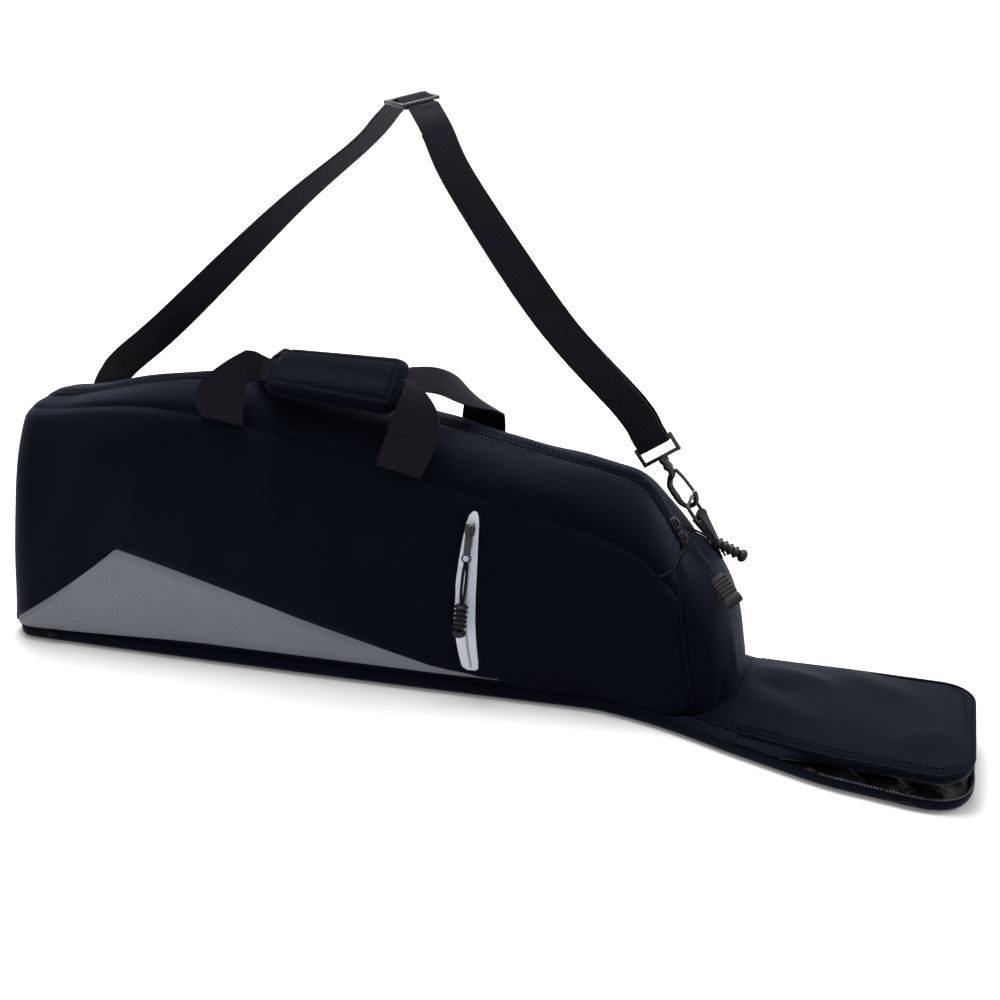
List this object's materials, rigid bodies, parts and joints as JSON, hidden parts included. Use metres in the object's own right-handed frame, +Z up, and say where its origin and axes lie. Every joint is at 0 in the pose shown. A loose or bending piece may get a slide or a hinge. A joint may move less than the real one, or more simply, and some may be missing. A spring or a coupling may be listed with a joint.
{
  "type": "sports tote bag",
  "caption": "Long padded sports tote with a zipped main bag over a flat sleeve that runs past its end, carry handles with a wrapped grip, and a shoulder strap on hooks.",
  "frame": {"origin": "on the floor under the middle of the main bag's base", "axes": "+Z up, +X along the bag towards the sleeve, -Y towards the front panel"},
  "size_m": [0.918, 0.2878, 0.5385],
  "materials": {
    "black_fabric": "padded woven cloth",
    "black_metal": "dark satin",
    "black_plastic": "satin",
    "dark_tape": "woven zip tape",
    "grey_fabric": "woven cloth",
    "lining": "thin lining cloth",
    "rubber": "matt",
    "silver_tape": "woven zip tape",
    "webbing": "flat woven webbing",
    "zip_coil": "moulded coil"
  },
  "bodies": {
    "bag": {"back_panel": "black_fabric", "base_board": "black_plastic", "base_tray": "black_fabric", "compartment_floor": "lining", "corner_tab": "webbing", "front_handle_left": "webbing", "front_handle_right": "webbing", "front_panel": "black_fabric", "grey_panel": "grey_fabric", "left_end_panel": "black_fabric", "left_ring_tab": "webbing", "main_zip_chain": "zip_coil", "main_zip_tape": "dark_tape", "pocket_lining": "lining", "pocket_panel": "black_fabric", "pocket_zip_chain": "zip_coil", "pocket_zip_tape": "silver_tape", "rear_handle_left": "webbing", "rear_handle_right": "webbing", "right_end_panel": "black_fabric", "right_ring_tab": "webbing", "top_front_strip": "black_fabric", "top_rear_strip": "black_fabric", "tray_zip_chain": "zip_coil"},
    "flap": {"sleeve_flap": "black_fabric", "flap_gusset": "black_fabric", "flap_zip_chain": "zip_coil"},
    "grip": {"grip_wrap": "black_fabric", "grip_core": "webbing"},
    "strap": {"strap_right_leg": "webbing", "strap_left_leg": "webbing", "strap_adjuster": "black_plastic", "right_swivel_frame": "black_metal", "left_swivel_frame": "black_metal"},
    "right_hook": {"right_hook": "black_metal"},
    "left_hook": {"left_hook": "black_metal"},
    "right_gate": {"right_hook_gate": "black_metal"},
    "left_gate": {"left_hook_gate": "black_metal"},
    "right_ring": {"right_ring": "black_metal"},
    "left_ring": {"left_ring": "black_metal"},
    "upper_slider": {"upper_slider": "black_metal"},
    "lower_slider": {"lower_slider": "black_metal"},
    "upper_pull": {"upper_pull_cord": "webbing", "upper_pull_grip": "rubber"},
    "lower_pull": {"lower_pull_cord": "webbing", "lower_pull_grip": "rubber"},
    "pocket_slider": {"pocket_slider": "black_metal"},
    "pocket_pull": {"pocket_pull_tab": "black_metal", "pocket_pull_cord": "webbing", "pocket_pull_grip": "rubber"},
    "sleeve_slider": {"sleeve_slider": "black_metal"}
  },
  "joints": [
    {"name": "flap_lift", "type": "hinge", "parent": "bag", "child": "flap", "pos_m": [0.3715, -0.03019, 0.0345], "axis": [0, -1, 0], "range_deg": [0, 55]},
    {"name": "grip_lift", "type": "slide", "parent": "bag", "child": "grip", "axis": [0, 0, 1], "range_m": [0, 0.03], "deforming": ["front_handle_left", "front_handle_right", "rear_handle_left", "rear_handle_right"]},
    {"name": "strap_swing", "type": "hinge", "parent": "bag", "child": "strap", "pos_m": [0.3079, 0.034, 0.16933], "axis": [-0.9935, 0.0911, -0.0675], "range_deg": [0, 20]},
    {"name": "right_swivel", "type": "hinge", "parent": "strap", "child": "right_hook", "pos_m": [0.28301, 0.034, 0.20622], "axis": [-0.5592, 0, 0.829], "range_deg": [-20, 20]},
    {"name": "left_swivel", "type": "hinge", "parent": "strap", "child": "left_hook", "pos_m": [-0.308, 0.0905, 0.172], "axis": [0, 0, 1], "range_deg": [-20, 20]},
    {"name": "right_gate_spring", "type": "hinge", "parent": "right_hook", "child": "right_gate", "pos_m": [0.29114, 0.034, 0.20205], "axis": [0, 1, 0], "range_deg": [0, 20], "stiffness_Nm_per_rad": 0.02, "springref_deg": -11.46},
    {"name": "left_gate_spring", "type": "hinge", "parent": "left_hook", "child": "left_gate", "pos_m": [-0.308, 0.0949, 0.164], "axis": [-1, 0, 0], "range_deg": [0, 20], "stiffness_Nm_per_rad": 0.02, "springref_deg": -11.46},
    {"name": "right_ring_tilt", "type": "hinge", "parent": "bag", "child": "right_ring", "pos_m": [0.31657, 0.034, 0.15648], "axis": [0, 1, 0], "range_deg": [0, 3]},
    {"name": "left_ring_tilt", "type": "hinge", "parent": "bag", "child": "left_ring", "pos_m": [-0.308, 0.0905, 0.112], "axis": [1, 0, 0], "range_deg": [-3, 0]},
    {"name": "upper_slide", "type": "slide", "parent": "bag", "child": "upper_slider", "axis": [-0.5555, 0.1153, 0.8235], "range_m": [0, 0.018]},
    {"name": "lower_slide", "type": "slide", "parent": "bag", "child": "lower_slider", "axis": [-0.5555, 0.1153, 0.8235], "range_m": [0, 0.018]},
    {"name": "upper_pull_swing", "type": "hinge", "parent": "upper_slider", "child": "upper_pull", "pos_m": [0.30536, -0.00835, 0.16558], "axis": [0.2196, -0.9756, 0], "range_deg": [0, 45]},
    {"name": "lower_pull_swing", "type": "hinge", "parent": "lower_slider", "child": "lower_pull", "pos_m": [0.31375, -0.0102, 0.15314], "axis": [-0.6964, -0.7176, 0], "range_deg": [0, 45]},
    {"name": "pocket_slide", "type": "hinge", "parent": "bag", "child": "pocket_slider", "pos_m": [0.118, 0.51556, 0.05853], "axis": [1, 0, 0], "range_deg": [0, 6.5]},
    {"name": "pocket_pull_swing", "type": "hinge", "parent": "pocket_slider", "child": "pocket_pull", "pos_m": [0.118, -0.07507, 0.16135], "axis": [-1, 0, 0], "range_deg": [0, 55]},
    {"name": "sleeve_slide", "type": "slide", "parent": "bag", "child": "sleeve_slider", "axis": [0.9573, -0.2891, 0], "range_m": [0, 0.1]}
  ],
  "couplings": [
    {"joint": "lower_slide", "follows": "upper_slide", "ratio": 1}
  ]
}
